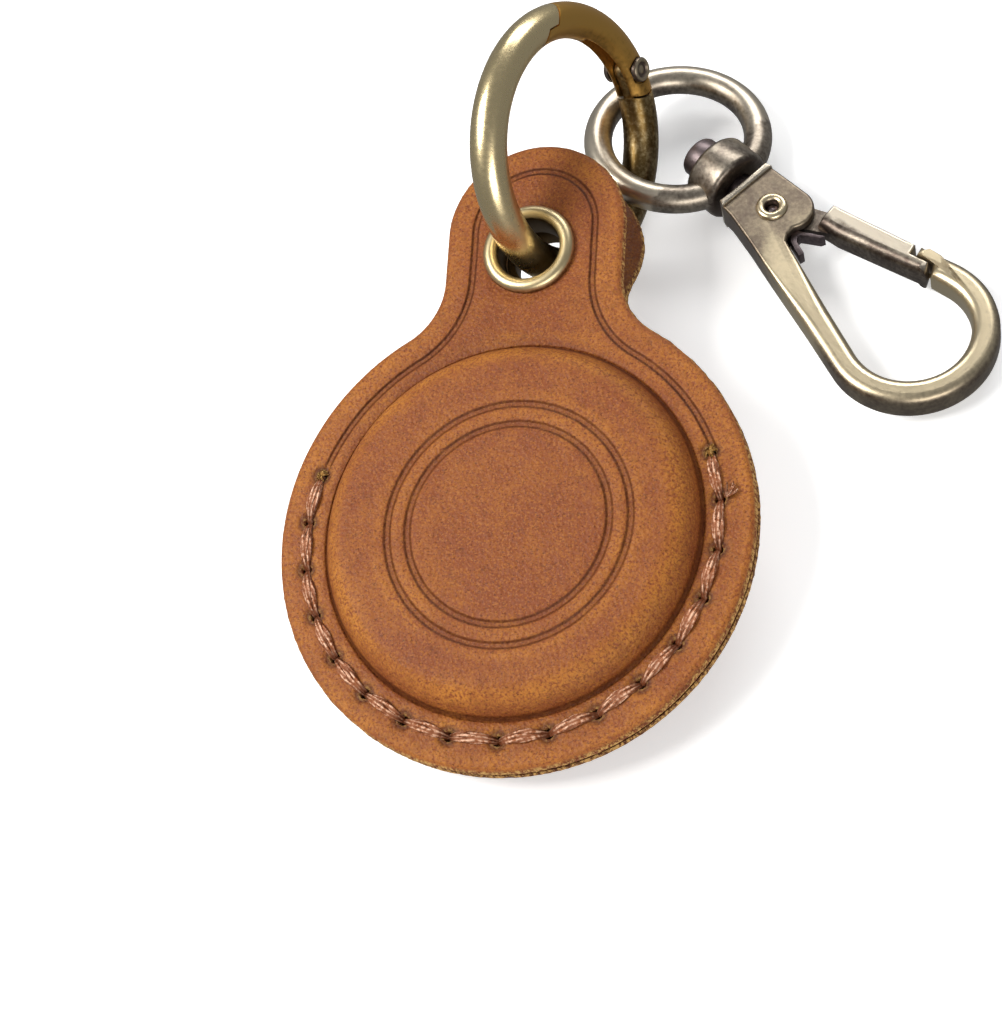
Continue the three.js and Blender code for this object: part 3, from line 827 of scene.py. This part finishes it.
def combine(shape, cuts=(), joins=(), keep=(), bevel=0.0):
    """Cuts, joins or keeps parts of a closed shape; gives back its points and faces."""
    base = scratch(shape)
    helpers = []
    for operation, shapes in (("UNION", joins), ("INTERSECT", keep), ("DIFFERENCE", cuts)):
        for other in shapes:
            helper = scratch(other)
            helpers.append(helper)
            modifier = base.modifiers.new("b", "BOOLEAN")
            modifier.operation = operation
            modifier.solver = "EXACT"
            modifier.object = helper
    if bevel:
        edge = base.modifiers.new("e", "BEVEL")
        edge.width = bevel
        edge.segments = 2
        edge.limit_method = "ANGLE"
        edge.angle_limit = radians(50.0)
    graph = bpy.context.evaluated_depsgraph_get()
    graph.update()
    result = base.evaluated_get(graph).to_mesh()
    vertices = [tuple(v.co) for v in result.vertices]
    faces = [tuple(p.vertices) for p in result.polygons]
    base.evaluated_get(graph).to_mesh_clear()
    for made in helpers + [base]:
        mesh = made.data
        bpy.data.objects.remove(made)
        bpy.data.meshes.remove(mesh)
    return vertices, faces


def add_metal(name, body, material, shape, matrix, replaces, slot, worn_at, smooth=60.0, bends=None):
    """A metal piece whose wear, and on the ring and the loop painted light too, is given by a function
    of the place on it.
    """
    values = {"worn": [worn_at(Vector(v)) for v in shape[0]]}
    add_object(name, body, material, *shape, matrix, replaces, slot, values, smooth, bends)


# ---- stitching ----

def stitch_strands(side, seed):
    """Waxed thread: four strands a stitch, which spread on the leather and meet in the holes."""
    random = Random(seed)
    parts = []
    for i in range(STITCHES - 1):
        start, end = STITCH_POINTS[i], STITCH_POINTS[i + 1]
        across = Vector((-(end - start).y, (end - start).x)).normalized()
        for strand in range(4):
            phase = strand * pi / 2 + random.uniform(-0.35, 0.35)
            swing = random.uniform(0.85, 1.15)
            path = []
            for k in range(19):
                t = k / 18
                spread = sin(pi * t) ** 0.6
                angle = phase + 2.2 * (t - 0.5)
                sideways = (0.06 + 0.27 * spread) * cos(angle) * swing
                lift = SURFACE - 0.85 + 1.05 * spread + 0.13 * spread * sin(angle)
                place = start.lerp(end, t) + across * sideways
                path.append((place.x, place.y, side * lift))
            thick = [0.20 + 0.07 * sin(pi * k / 18) for k in range(19)]
            parts.append(tube(path, thick, 8))
    return parts


def loose_strand(start, heading, reach, bend, side, rise_at, thick):
    """A short fibre that leaves a point on the leather, bending as it goes."""
    path = []
    for k in range(7):
        t = k / 6
        angle = heading + bend * t
        path.append((start.x + reach * t * cos(angle), start.y + reach * t * sin(angle),
                     side * (SURFACE + rise_at(t))))
    return tube(path, thick, 6)


def tuft(centre, side, seed):
    """A puff of loose fibre where the thread starts or ends."""
    random = Random(seed)
    thick = [0.10 - 0.05 * k / 6 for k in range(7)]
    parts = []
    for _ in range(16):
        heading, reach = random.uniform(0.0, 2 * pi), random.uniform(0.45, 1.0) * 0.75
        parts.append(loose_strand(centre, heading, reach, random.uniform(-0.8, 0.8), side,
                                  lambda t: 0.25 * sin(pi * min(1.0, t * 1.15)) - 0.06, thick))
    return parts


def frayed_end(start, side, seed):
    """Short loose strands that stand away from the last stitch."""
    random = Random(seed)
    parts = []
    for _ in range(6):
        heading, reach = radians(random.uniform(-15.0, 60.0)), random.uniform(0.9, 1.7)
        parts.append(loose_strand(start, heading, reach, 0.5, side,
                                  lambda t: 0.1 + 0.35 * sin(pi * 0.8 * t), 0.09))
    return parts


def stitching():
    runs = ((1, "stitching_front", "front_thread"), (-1, "stitching_back", "back_thread"))
    for side, name, node in runs:
        parts = stitch_strands(side, 5 + side)
        if side > 0:
            parts += frayed_end(STITCH_POINTS[-2] + Vector((0.5, 0.1)), side, 11)
        vertices, faces, values = gather(parts)
        # How far down in its hole each point lies: 0 on the leather, 1 inside; the thread is painted
        # darker by it, as shade in the hole.
        values["deep"] = [1.0 - smoothstep(SURFACE - 0.2, SURFACE + 0.32, abs(v[2]))
                          for v in vertices]
        add_object(name, "fob", THREAD, vertices, faces, FOB, (node,), "waxed_thread", values)
        ends = tuft(STITCH_POINTS[0], side, 21) + tuft(STITCH_POINTS[-1], side, 22)
        vertices, faces, values = gather(ends)
        values["deep"] = [0.0] * len(vertices)
        add_object(name + "_ends", "fob", TUFT, vertices, faces, FOB, (), "waxed_thread", values)


stitching()


# ---- eyelets and tag ----

def eyelet_profile(depth):
    """A barrel with a rolled half-round rim above and a flared foot below."""
    seat = LEATHER / 2 + 0.02
    foot = -LEATHER / 2 - depth
    middle, half = (BORE_R + RIM_R) / 2, (RIM_R - BORE_R) / 2
    rolled = [pi * k / 12 for k in range(13)]
    rim = [(middle + half * cos(a), seat + 0.02 + RIM_HEIGHT * sin(a)) for a in rolled]
    flare = [(BORE_R, foot), (BORE_R + 0.1, foot - 0.2), (FOOT_R, foot - 0.2), (FOOT_R + 0.05, foot)]
    return flare + [(BARREL_R, foot), (BARREL_R, seat)] + rim + [(BORE_R, 0.0), (BORE_R, foot)]


def eyelet(name, node, matrix, washer_node, depth):
    def worn_at(v):
        flange = 0.15 * smoothstep(BARREL_R, 4.3, hypot(v.x, v.y))
        return 0.75 * smoothstep(0.75, 1.2, v.z) + flange - 0.3 * (v.z < 0.3)

    add_metal(name, "fob", EYELET_BRASS, lathe(eyelet_profile(depth)), matrix, (node,),
              "antique_brass", worn_at)
    top = -LEATHER / 2 - 0.05
    washer = [(EYELET_HOLE, top), (EYELET_HOLE, top - 0.2), (EYELET_HOLE + 0.1, top - 0.25),
              (WASHER_R - 0.1, top - 0.25), (WASHER_R, top - 0.15), (WASHER_R, top), (EYELET_HOLE, top)]
    add_metal(name + "_washer", "fob", EYELET_BRASS, lathe(washer), matrix, (washer_node,),
              "antique_brass", lambda v: 0.5)


front_place = FOB @ Matrix.Translation(FRONT_EYELET)
back_place = (FOB @ Matrix.Translation(BACK_EYELET)
              @ Matrix.Rotation(pi - radians(BACK_EYELET_TILT), 4, "X"))
eyelet("eyelet_front", "front_eyelet", front_place, "front_eyelet_washer", 1.45)
eyelet("eyelet_back", "back_eyelet", back_place, "back_eyelet_washer", 0.4)

for node, finish in (("tag_base", WHITE), ("tag_cover", WHITE), ("coin_cell", STEEL)):
    bpy.data.objects[node].material_slots[0].material = finish


# ---- gate ring ----

def ring_point(radius, angle):
    return Vector((radius * cos(radians(angle)), radius * sin(radians(angle)), 0.0))


def wire_arc(start, end, sides=40):
    steps = int((end - start) / 2.0)
    path = [ring_point(RING_R, start + (end - start) * k / steps) for k in range(steps + 1)]
    return tube(path, RING_WIRE, sides)[:2]


def sector(inner, outer, start, end, low, high):
    steps = max(2, int((end - start) / 3.0))
    angles = [start + (end - start) * k / steps for k in range(steps + 1)]
    rim = [ring_point(outer, a) for a in angles]
    core = [ring_point(inner, a) for a in reversed(angles)]
    return prism(rim + core, low, high)


def round_block(centre, radius, low, high, sides=64):
    rim = [centre + ring_point(radius, 360.0 * k / sides) for k in range(sides)]
    return prism(rim, low, high)


PIN = ring_point(RING_R, PIN_ANGLE)


def wear_and_lit_side(base, gain):
    """Rubbed bright on the outside of the ring. It is lighter on the side away from the pin, which
    faces up, and darker on the side down towards the fob: painted light and painted shade.
    """
    def worn_at(v):
        out = (hypot(v.x, v.y) - RING_R) / RING_WIRE
        # away is painted light: 1 on the side that faces up, 0 on the side down towards the fob.
        away = 0.5 - 0.5 * cos(atan2(v.y, v.x) - radians(15.0))
        return base + gain * max(0.0, 0.45 + 0.55 * out) * (0.15 + 1.05 * away) + 0.40 * (away - 0.4)
    return worn_at


def lap_space(start, clearance):
    """The gate's side of the lap joint, whose ends are round about the pin."""
    outer_reach = (ring_point(RING_R + LAP_STEP, JOINT_OUTER) - PIN).length + clearance
    inner_reach = (ring_point(RING_R - LAP_STEP, JOINT_INNER) - PIN).length + clearance
    beyond = CLEAR + 0.2
    whole = combine(sector(RING_R - CLEAR, RING_R + CLEAR, start, 170, -CLEAR, CLEAR),
                    keep=[round_block(PIN, outer_reach, -beyond, beyond, 160)])
    inner = combine(sector(RING_R - CLEAR, RING_R - 0.16 + clearance, start, 170, -3.1, 3.1),
                    keep=[round_block(PIN, inner_reach, -beyond, beyond, 160)])
    return combine(whole, joins=[inner])


def ring_body():
    tongue = combine(
        sector(RING_R - 1.1, RING_R + 0.8, PIN_ANGLE - 18, PIN_ANGLE, -TONGUE_HALF, TONGUE_HALF),
        joins=[round_block(PIN, 1.15, -TONGUE_HALF, TONGUE_HALF)])
    wire = combine(wire_arc(JOINT_OUTER - 15 - 360, PIN_ANGLE - 1), cuts=[
        lap_space(PIN_ANGLE + 20, LAP_GAP), round_block(PIN, GATE_END_R + 0.22, -CLEAR, CLEAR)],
        bevel=EDGE_BEVEL)
    add_metal("ring_body_wire", "ring", BRASS, combine(wire, joins=[tongue]), RING, ("ring_body",),
              "antique_brass", wear_and_lit_side(0.20, 0.75), 35.0)


def ring_gate():
    beyond = CLEAR + 0.2
    keep = combine(lap_space(PIN_ANGLE, 0.0), joins=[round_block(PIN, GATE_END_R, -beyond, beyond)])
    slot = sector(RING_R - 4, RING_R + 1.3, PIN_ANGLE - 22, SLOT_END, -SLOT_HALF, SLOT_HALF)
    seats = [round_block(PIN, PIN_BORE_R, -CLEAR, CLEAR),
             round_block(PIN, PIN_SEAT_R, PIN_SEAT_Z, CLEAR),
             round_block(PIN, PIN_SEAT_R, -CLEAR, -PIN_SEAT_Z)]
    lever = combine(wire_arc(PIN_ANGLE - 16, JOINT_INNER + 15), keep=[keep], cuts=[slot] + seats,
                    bevel=EDGE_BEVEL)
    add_metal("ring_gate_lever", "ring_gate", GATE_BRASS, lever, RING, ("ring_gate",),
              "antique_brass", wear_and_lit_side(0.42, 0.5), 35.0)


def ring_pin():
    head = [(0.55, 1.76), (0.72, 1.80), (0.82, 2.0), (1.04, 2.05), (1.2, 1.88), (1.2, 1.50),
            (0.74, 1.42)]
    foot = [(r, -z) for r, z in reversed(head)]
    dimple = [(0.02, 1.88), (0.30, 1.86)]
    pin = lathe(dimple + head + foot + [(0.30, -1.86), (0.02, -1.88), (0.02, 1.88)], 48)

    def worn_at(v):
        out = hypot(v.x, v.y)
        return 0.5 * bell(out, 0.95, 0.16) + 0.3 * (out < 0.45)

    add_metal("ring_pin", "ring", PLATE, pin, RING @ Matrix.Translation(PIN), ("ring_gate_pin",),
              "dark_steel", worn_at)


def ring_spring():
    leaf = sector(RING_R + 0.1, RING_R + 0.45, PIN_ANGLE + LEAF_START, LEAF_END, -0.5, 0.5)
    bends = ("ring_gate", PIN, ring_point(RING_R, PIN_ANGLE + 17.0))
    add_metal("ring_leaf", "ring", DARK, leaf, RING, ("ring_gate_spring",), "dark_steel",
              lambda v: 0.3, 35.0, bends)


ring_body()
ring_gate()
ring_pin()
ring_spring()


# ---- swivel loop ----

def rounded(centre, size, angles):
    """Points on an arc in a turned profile."""
    return [(centre[0] + size * cos(radians(a)), centre[1] + size * sin(radians(a))) for a in angles]


def turned_plug(radius, start, end, sides=48):
    """A plain cylinder along x."""
    return about_x(lathe([(0, start), (radius, start), (radius, end), (0, end)], sides))


def swivel_loop():
    profile = [(0, HUB_START), (HUB_R - 0.7, HUB_START)]
    profile += rounded((HUB_R - 0.7, HUB_START + 0.7), 0.7, (-70, -50, -30, -10))
    profile += [(HUB_R, HUB_END - 1.1)]
    profile += rounded((HUB_R - 0.6, HUB_END - 0.6), 0.6, (0, 22, 45, 67, 90))
    hub = about_x(lathe(profile + [(0, HUB_END)], 72))
    reach = LOOP_R + LOOP_WIRE + 1
    cuts = [turned_plug(4.5, HUB_END, reach), turned_plug(2.6, HUB_START - 4, HUB_START),
            turned_plug(STUD_R + 0.1, HUB_START - 4, reach)]
    wire = rounded((LOOP_R, 0.0), LOOP_WIRE, range(0, 360, 10))
    shape = combine(lathe(wire + wire[:1], 128), joins=[hub], cuts=cuts)

    def worn_at(v):
        out = (hypot(v.x, v.y) - LOOP_R) / LOOP_WIRE
        if v.x > HUB_START - 0.3:
            return 0.02 + 0.2 * smoothstep(HUB_R - 0.35, HUB_R, hypot(v.y, v.z))
        # Rubbed bright on the outside of the wire, and lighter on its upper half, v.z above 0, which is
        # painted light.
        return 0.16 + 0.4 * max(0.0, out) + 0.25 * max(0.0, v.z) / LOOP_WIRE

    add_metal("loop_wire", "loop", BRONZE, shape, LOOP, ("swivel_loop",), "antique_bronze", worn_at,
              35.0)


def swivel_stud():
    head_end = HUB_START - 0.12
    head_start = head_end - STUD_HEAD_LEN
    profile = [(0, head_start + 0.12), (0.9, head_start + 0.1), (STUD_HEAD_R - 0.45, head_start),
               (STUD_HEAD_R - 0.15, head_start + 0.1), (STUD_HEAD_R, head_start + 0.4),
               (STUD_HEAD_R + 0.03, head_end - 0.2), (STUD_HEAD_R - 0.1, head_end),
               (STUD_R, head_end), (STUD_R, NECK_START - 0.1), (0.95, NECK_START - 0.1),
               (0.95, NECK_START + 1.4), (0, NECK_START + 1.4)]
    add_metal("stud", "hook", DARK, about_x(lathe(profile, 56)), HOOK, ("swivel_stud",), "dark_steel",
              lambda v: 0.55 if v.x < head_end - 0.1 else 0.15, 40.0)


swivel_loop()
swivel_stud()


# ---- snap hook ----

def points(*pairs):
    return [Vector(pair) for pair in pairs]


def hook_outline():
    """Collar, cheek round the rivet, spine, round bend and nose."""
    outline = points((NECK_START, 2.9), (NECK_START, -2.9), (NECK_START + 0.5, -3.2), (11.5, -3.3),
                     (15.0, -4.1))
    outline += arc(BEND_X, BEND_Y, BEND_OUTER, -104, 104, 0.5)
    outline += points((27.3, 6.5), (27.6, 5.55), (29.4, 5.95), (30.3, 4.75))
    outline += arc(BEND_X, BEND_Y, BEND_INNER, 104, -105, 0.5)
    outline += points((17.6, -1.7), (17.2, -1.1))
    outline += arc(15.2, 1.1, 2.3, -35, 90, 0.3)
    outline += points((12.6, 3.3), (NECK_START + 0.5, 3.2))
    return fill_gaps(outline, 0.7)


def hook_body():
    def bevel_at(p):
        if p.x < 17.5:
            return 0.28
        return 0.3 + 0.62 * smoothstep(17.5, 27.0, p.x)

    slot = prism(points((11.7, -2.1), (22, -2.1), (22, 6), (11.7, 6)), -SLOT_HALF, SLOT_HALF)
    rivet = round_block(Vector((RIVET_X, 0, 0)), 1.0, -3, 3, 40)
    tenon = turned_plug(1.05, NECK_START - 1, NECK_START + 3, 32)
    shape = combine(plate(hook_outline(), HOOK_HALF, bevel_at), cuts=[slot, rivet, tenon])

    def worn_at(v):
        flat = smoothstep(HOOK_HALF - 0.5, HOOK_HALF - 0.02, abs(v.z))
        along = smoothstep(15.0, 27.0, v.x)
        out = hypot(v.x - BEND_X, v.y - BEND_Y)
        inner = 1.0 - smoothstep(6.0, 7.6, out) * smoothstep(25.0, 30.0, v.x)
        return (0.02 + 0.12 * flat) * (1 - along) + (0.14 + 0.24 * flat + 0.55 * inner) * along

    add_metal("hook_plate", "hook", PLATE, shape, HOOK, ("hook_body",), "antique_bronze", worn_at, 40.0)
    start, end = NECK_START - 0.02, NECK_START + LIP_LENGTH
    collar = fill_gaps(points((start, -3.0), (end, -3.2), (end, 3.2), (start, 3.0)), 0.7)
    add_metal("hook_lip", "hook", BRONZE, plate(collar, HOOK_HALF + 0.35, lambda p: 0.22), HOOK, (),
              "antique_bronze", lambda v: 0.9, 40.0)


def hook_gate():
    outline = fill_gaps(points((18.3, 1.75), (20.5, 2.0), (29.95, 4.55), (29.2, 5.6),
                               (27.25, 5.15), (26.95, 6.15), (18.0, 4.15)), 0.8)
    lever = plate(outline, HOOK_HALF - 0.03,
                  lambda p: 0.95 if p.y < 1.9 + (p.x - 18.3) * 0.24 else 0.25)
    tongue = prism(points((RIVET_X, -1.3), (19.5, 1.9), (19.0, 4.1), (RIVET_X, RIVET_EYE_R)),
                   -TONGUE_HALF, TONGUE_HALF)
    rivet = Vector((RIVET_X, 0, 0))
    eye = round_block(rivet, RIVET_EYE_R, -TONGUE_HALF, TONGUE_HALF)
    bore = round_block(rivet, 1.05, -3, 3, 40)
    shape = combine(lever, joins=[tongue, eye], cuts=[bore])

    def worn_at(v):
        flat = smoothstep(HOOK_HALF - 0.4, HOOK_HALF - 0.04, abs(v.z))
        from_inner = v.y - (1.75 + (v.x - 18.3) * 0.24)
        return 0.1 + 0.5 * flat * smoothstep(0.75, 1.0, from_inner) if v.x > 18.2 else 0.15

    add_metal("hook_lever", "hook_gate", BRONZE, shape, HOOK, ("hook_gate",), "antique_bronze",
              worn_at, 40.0)


def hook_rivet():
    face = HOOK_HALF + 0.02
    width, height = RIVET_ROLL
    rolled = [pi * k / 6 for k in range(7)]
    upper = [(1.1 + width * cos(a), face + height * sin(a)) for a in rolled]
    lower = [(r, -h) for r, h in reversed(upper)]
    shank = [(0.93, -face + 0.05), (0.93, face - 0.05)]
    rivet = lathe([(0.6, 0.0)] + lower + shank + upper + [(0.6, 0.0)], 48)
    place = HOOK @ Matrix.Translation((RIVET_X, 0, 0))
    add_metal("hook_rivet", "hook", PLATE, rivet, place, ("hook_gate_rivet",), "antique_bronze",
              lambda v: 1.0 if abs(v.z) > face and hypot(v.x, v.y) > 0.75 else 0.1)
    core = lathe([(0, -1.2), (0.58, -1.2), (0.58, 1.05), (0.3, 1.2), (0, 1.25)], 32)
    add_metal("hook_rivet_core", "hook", DARK, core, place, (), "dark_steel",
              lambda v: 0.9 if v.z > 1.1 else 0.1)


def hook_spring():
    leaf = prism(points((19.4, -1.75), (17.6, -1.2), (17.0, -0.5), (17.2, 0.1), (19.6, 1.45),
                        (19.4, 1.0), (17.7, -0.05), (17.75, -0.45), (18.1, -0.8), (19.5, -1.2)),
                 -SLOT_HALF, SLOT_HALF)
    bends = ("hook_gate", Vector((17.6, -0.9, 0.0)), Vector((17.6, 0.3, 0.0)))
    add_metal("hook_leaf", "hook", DARK, combine(leaf, bevel=0.05), HOOK, ("hook_gate_spring",),
              "dark_steel", lambda v: 0.35, 35.0, bends)


hook_body()
hook_gate()
hook_rivet()
hook_spring()


# ---- floor, light and camera ----

def floor():
    """A white sheet just below the keychain, lit a little from within to keep its shadows soft."""
    size, count, height = 3.0, 60, -0.00002
    steps = [(i / count - 0.5) * size for i in range(count + 1)]
    vertices = [(x, y, height) for x in steps for y in steps]
    corners = [i * (count + 1) + j for i in range(count) for j in range(count)]
    faces = [(a, a + count + 1, a + count + 2, a + 1) for a in corners]
    n = Nodes("floor_white")
    tone = n.mix(n.noise(6.0, 3.0, 0.5), (0.93, 0.93, 0.93), (0.96, 0.96, 0.96))
    material = n.finish(Base_Color=tone, Roughness=0.9, Specular_IOR_Level=0.1, Emission_Color=tone,
                        Emission_Strength=0.4)
    mesh = bpy.data.meshes.new("floor")
    mesh.from_pydata(vertices, [], faces)
    mesh.materials.append(material)
    sheet = new_object("floor", mesh)
    sheet.visible_glossy = False


def area_light(name, place, size, power, colour=(1.0, 1.0, 1.0)):
    """A rectangular lamp turned towards the middle of the keychain."""
    lamp = bpy.data.lights.new(name, "AREA")
    lamp.shape = "RECTANGLE"
    lamp.size, lamp.size_y = size
    lamp.energy = power
    lamp.color = colour
    aim = Vector((0.0, 0.0, 0.006)) - Vector(place)
    new_object(name, lamp, place, aim.to_track_quat("-Z", "Y"))


def studio():
    bpy.context.scene.view_settings.view_transform = "Standard"
    world = bpy.data.worlds.new("studio")
    world.use_nodes = True
    background = world.node_tree.nodes["Background"]
    background.inputs["Color"].default_value = (0.95, 0.97, 1.0, 1.0)
    background.inputs["Strength"].default_value = 0.25
    bpy.context.scene.world = world
    area_light("key", (-0.24, -0.04, 0.34), (0.22, 0.18), 1.7, (1.0, 0.985, 0.96))
    area_light("fill", (0.20, -0.38, 0.22), (0.30, 0.14), 0.95, (1.0, 0.98, 0.95))
    area_light("back", (0.06, 0.34, 0.26), (0.34, 0.12), 0.8)


def camera():
    lens = bpy.data.cameras.new("camera")
    lens.lens = LENS_LENGTH
    lens.clip_start, lens.clip_end = 0.01, 10.0
    axes = FOB_TURN.to_3x3() @ Euler([radians(a) for a in LENS_TURN]).to_matrix()
    place = FOB.translation + axes @ Vector(LENS_PLACE)
    bpy.context.scene.camera = new_object("camera", lens, place, axes.to_quaternion())


floor()
studio()
camera()
